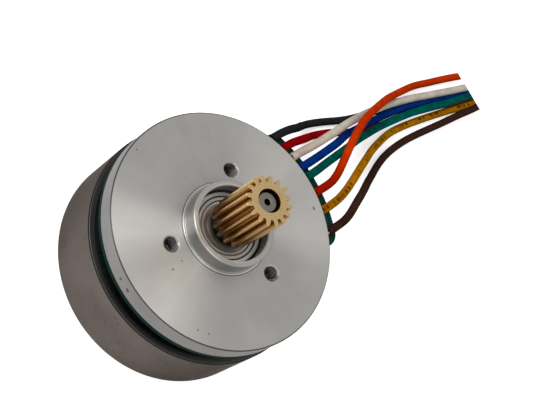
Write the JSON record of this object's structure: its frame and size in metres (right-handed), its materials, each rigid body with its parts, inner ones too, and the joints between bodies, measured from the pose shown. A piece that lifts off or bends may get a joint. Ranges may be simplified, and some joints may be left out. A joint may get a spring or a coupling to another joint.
{
  "type": "brushless dc motor",
  "caption": "Outer-rotor brushless motor with a flat round mounting flange, a centring boss, a rotor cup behind it, a brass spur pinion and a bundle of coloured leads.",
  "frame": {"origin": "centre of the mounting face of the front flange, on the shaft axis", "axes": "+Z along the shaft, out of the mounting face towards the pinion; +Y towards the board's tab, where the leads leave"},
  "size_m": [0.071, 0.1865, 0.059],
  "materials": {
    "flange": "fine turned, clear",
    "bearing_steel": "ground",
    "brass_cage": "plain",
    "shield_steel": "pressed sheet",
    "spring_steel": "plain",
    "laminations": "stacked sheet edges",
    "insulator": "moulded",
    "enamelled_wire": "enamelled copper",
    "board": "dark green solder mask",
    "screw_steel": "plated",
    "sensor": "moulded",
    "solder": "reflowed",
    "black_insulation": "extruded",
    "red_insulation": "extruded",
    "white_insulation": "extruded",
    "blue_insulation": "extruded",
    "green_insulation": "extruded",
    "orange_insulation": "extruded",
    "yellow_insulation": "extruded",
    "brown_insulation": "extruded",
    "cup_steel": "turned, dark oiled",
    "magnet": "sintered, coated",
    "shaft_steel": "ground",
    "spacer": "blackened",
    "pinion_brass": "hobbed"
  },
  "bodies": {
    "stator": {"front_flange": "flange", "front_bearing_outer_ring": "bearing_steel", "front_bearing_shields": "shield_steel", "rear_bearing_outer_ring": "bearing_steel", "rear_bearing_shields": "shield_steel", "wave_washer": "spring_steel", "stator_core": "laminations", "upper_insulator": "insulator", "lower_insulator": "insulator", "windings": "enamelled_wire", "phase_wires": "enamelled_wire", "circuit_board": "board", "board_screws": "screw_steel", "hall_sensors": "sensor", "solder_joints": "solder", "lead_black": "black_insulation", "lead_red": "red_insulation", "lead_white": "white_insulation", "lead_blue": "blue_insulation", "lead_green": "green_insulation", "lead_orange": "orange_insulation", "lead_yellow": "yellow_insulation", "lead_brown": "brown_insulation"},
    "rotor": {"rotor_cup": "cup_steel", "magnets": "magnet", "shaft": "shaft_steel", "spacer_ring": "spacer", "pinion": "pinion_brass", "front_bearing_inner_ring": "bearing_steel", "rear_bearing_inner_ring": "bearing_steel"},
    "front_ball_set": {"front_bearing_balls": "bearing_steel", "front_bearing_cage": "brass_cage"},
    "rear_ball_set": {"rear_bearing_balls": "bearing_steel", "rear_bearing_cage": "brass_cage"}
  },
  "joints": [
    {"name": "rotor_spin", "type": "hinge", "parent": "stator", "child": "rotor", "pos_m": [0, 0, 0], "axis": [0, 0, 1], "continuous": true},
    {"name": "front_ball_spin", "type": "hinge", "parent": "stator", "child": "front_ball_set", "pos_m": [0, 0, 0], "axis": [0, 0, 1], "continuous": true},
    {"name": "rear_ball_spin", "type": "hinge", "parent": "stator", "child": "rear_ball_set", "pos_m": [0, 0, 0], "axis": [0, 0, 1], "continuous": true}
  ],
  "couplings": [
    {"joint": "front_ball_spin", "follows": "rotor_spin", "ratio": 0.3677},
    {"joint": "rear_ball_spin", "follows": "rotor_spin", "ratio": 0.3677}
  ]
}
